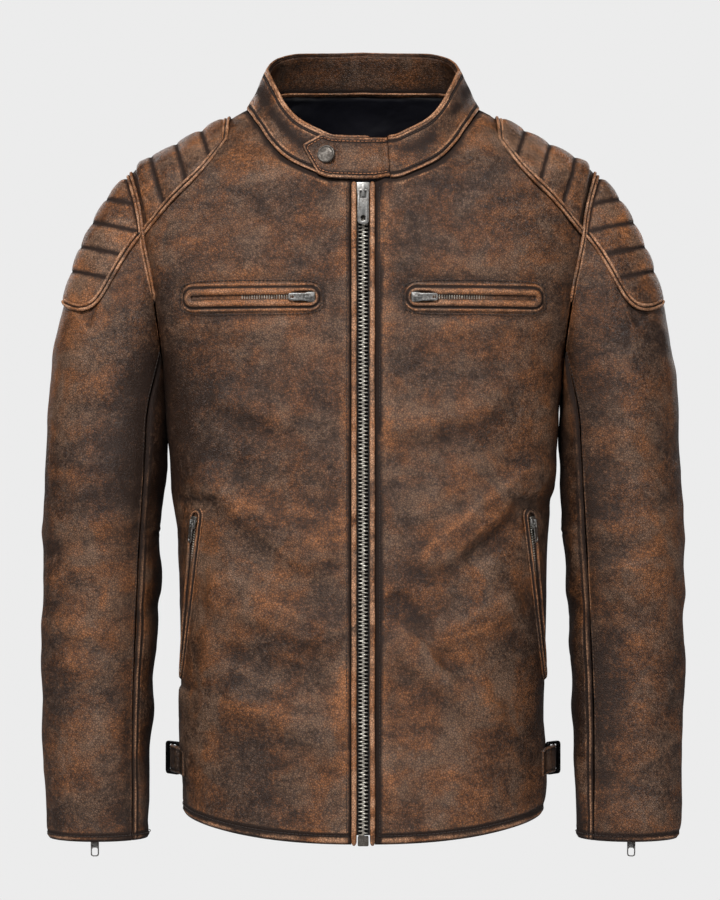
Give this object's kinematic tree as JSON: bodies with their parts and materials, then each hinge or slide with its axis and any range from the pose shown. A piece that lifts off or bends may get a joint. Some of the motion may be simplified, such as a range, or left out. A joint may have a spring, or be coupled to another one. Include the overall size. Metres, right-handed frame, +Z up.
{
  "type": "leather riding jacket",
  "caption": "Band-collared leather riding jacket with quilted shoulder pads, centre zip, zipped chest and side pockets, and waist straps.",
  "frame": {"origin": "middle of the neck at the height where the shoulder seams meet the collar, on the jacket's plane of symmetry", "axes": "+Z up, +X towards the wearer's left, and the front faces -Y"},
  "size_m": [0.587, 0.2494, 0.7482],
  "materials": {
    "leather": "waxed and worn, dark brown with lighter rubbed places",
    "edge_leather": "worn tan folded edges",
    "dark_leather": "smooth, almost black",
    "lining": "black satin",
    "tape": "woven black zip tape",
    "nickel": "dulled antique nickel",
    "black_metal": "semi-gloss black"
  },
  "bodies": {
    "garment": {"back_panel": "leather", "front_panel_left": "leather", "front_panel_right": "leather", "shoulder_pad_left": "leather", "shoulder_pad_right": "leather", "sleeve_pad_left": "leather", "sleeve_pad_right": "leather", "sleeve_top_left": "leather", "sleeve_top_right": "leather", "sleeve_under_left": "leather", "sleeve_under_right": "leather", "collar_band": "leather", "collar_facing": "leather", "zip_edge_left": "edge_leather", "zip_edge_right": "edge_leather", "chest_pocket_welt_left": "edge_leather", "chest_pocket_welt_right": "edge_leather", "side_pocket_welt_left": "edge_leather", "side_pocket_welt_right": "edge_leather", "strap_anchor_left": "dark_leather", "strap_anchor_right": "dark_leather", "waist_strap_left": "dark_leather", "waist_strap_right": "dark_leather", "body_lining": "lining", "sleeve_lining_left": "lining", "sleeve_lining_right": "lining", "chest_pocket_bag_left": "lining", "chest_pocket_bag_right": "lining", "side_pocket_bag_left": "lining", "side_pocket_bag_right": "lining", "zip_tape_left": "tape", "zip_tape_right": "tape", "zip_teeth_left": "nickel", "zip_teeth_right": "nickel", "zip_box": "nickel", "chest_zip_left": "nickel", "chest_zip_right": "nickel", "side_zip_left": "nickel", "side_zip_right": "nickel", "cuff_zip_left": "nickel", "cuff_zip_right": "nickel", "snap_stud": "nickel"},
    "main_slider": {"zip_slider": "nickel"},
    "main_pull": {"zip_pull": "nickel"},
    "chest_slider_left": {"chest_slider_left": "nickel"},
    "chest_pull_left": {"chest_pull_left": "nickel"},
    "side_slider_left": {"side_slider_left": "nickel"},
    "side_pull_left": {"side_pull_left": "nickel"},
    "cuff_slider_left": {"cuff_slider_left": "nickel"},
    "cuff_pull_left": {"cuff_pull_left": "nickel"},
    "chest_slider_right": {"chest_slider_right": "nickel"},
    "chest_pull_right": {"chest_pull_right": "nickel"},
    "side_slider_right": {"side_slider_right": "nickel"},
    "side_pull_right": {"side_pull_right": "nickel"},
    "cuff_slider_right": {"cuff_slider_right": "nickel"},
    "cuff_pull_right": {"cuff_pull_right": "nickel"},
    "collar_tab": {"collar_tab": "leather", "snap_cap": "nickel"},
    "buckle_left": {"buckle_frame_left": "black_metal"},
    "buckle_right": {"buckle_frame_right": "black_metal"}
  },
  "joints": [
    {"name": "main_zip_slide", "type": "slide", "parent": "garment", "child": "main_slider", "axis": [0, -0.0506, -0.9987], "range_m": [0, 0.5597]},
    {"name": "main_pull_hinge", "type": "hinge", "parent": "main_slider", "child": "main_pull", "pos_m": [0, -0.09986, -0.07297], "axis": [-1, 0, 0], "range_deg": [0, 150]},
    {"name": "chest_zip_slide_left", "type": "hinge", "parent": "garment", "child": "chest_slider_left", "pos_m": [0.04165, 0.16562, -0.168], "axis": [0, 0, 1], "range_deg": [0, 22.46]},
    {"name": "chest_pull_hinge_left", "type": "hinge", "parent": "chest_slider_left", "child": "chest_pull_left", "pos_m": [0.04772, -0.1061, -0.168], "axis": [0, 0, -1], "range_deg": [0, 150]},
    {"name": "side_zip_slide_left", "type": "slide", "parent": "garment", "child": "side_slider_left", "axis": [0.1005, 0.2648, -0.9591], "range_m": [0, 0.1363]},
    {"name": "side_pull_hinge_left", "type": "hinge", "parent": "side_slider_left", "child": "side_pull_left", "pos_m": [0.15412, -0.0716, -0.36856], "axis": [-0.4521, -0.8465, -0.2811], "range_deg": [0, 150]},
    {"name": "cuff_zip_slide_left", "type": "slide", "parent": "garment", "child": "cuff_slider_left", "axis": [0.0268, 0.1656, 0.9858], "range_m": [0, 0.1122]},
    {"name": "cuff_pull_hinge_left", "type": "hinge", "parent": "cuff_slider_left", "child": "cuff_pull_left", "pos_m": [0.2489, 0.0215, -0.65165], "axis": [0.9996, 0, -0.0272], "range_deg": [0, 150]},
    {"name": "chest_zip_slide_right", "type": "hinge", "parent": "garment", "child": "chest_slider_right", "pos_m": [-0.04165, 0.16562, -0.168], "axis": [0, 0, -1], "range_deg": [0, 22.46]},
    {"name": "chest_pull_hinge_right", "type": "hinge", "parent": "chest_slider_right", "child": "chest_pull_right", "pos_m": [-0.04772, -0.1061, -0.168], "axis": [0, 0, 1], "range_deg": [0, 150]},
    {"name": "side_zip_slide_right", "type": "slide", "parent": "garment", "child": "side_slider_right", "axis": [-0.1005, 0.2648, -0.9591], "range_m": [0, 0.1363]},
    {"name": "side_pull_hinge_right", "type": "hinge", "parent": "side_slider_right", "child": "side_pull_right", "pos_m": [-0.15412, -0.0716, -0.36856], "axis": [-0.4521, 0.8465, 0.2811], "range_deg": [0, 150]},
    {"name": "cuff_zip_slide_right", "type": "slide", "parent": "garment", "child": "cuff_slider_right", "axis": [-0.0268, 0.1656, 0.9858], "range_m": [0, 0.1122]},
    {"name": "cuff_pull_hinge_right", "type": "hinge", "parent": "cuff_slider_right", "child": "cuff_pull_right", "pos_m": [-0.2489, 0.0215, -0.65165], "axis": [0.9996, 0, 0.0272], "range_deg": [0, 150]},
    {"name": "collar_tab_hinge", "type": "hinge", "parent": "garment", "child": "collar_tab", "pos_m": [0.02284, -0.09188, -0.04262], "axis": [-0.0628, 0.2783, 0.9584], "range_deg": [0, 100]},
    {"name": "buckle_hinge_left", "type": "hinge", "parent": "garment", "child": "buckle_left", "pos_m": [0.16845, -0.02113, -0.585], "axis": [0, 0, -1], "range_deg": [-30, 40]},
    {"name": "buckle_hinge_right", "type": "hinge", "parent": "garment", "child": "buckle_right", "pos_m": [-0.16845, -0.02113, -0.585], "axis": [0, 0, 1], "range_deg": [-30, 40]}
  ]
}
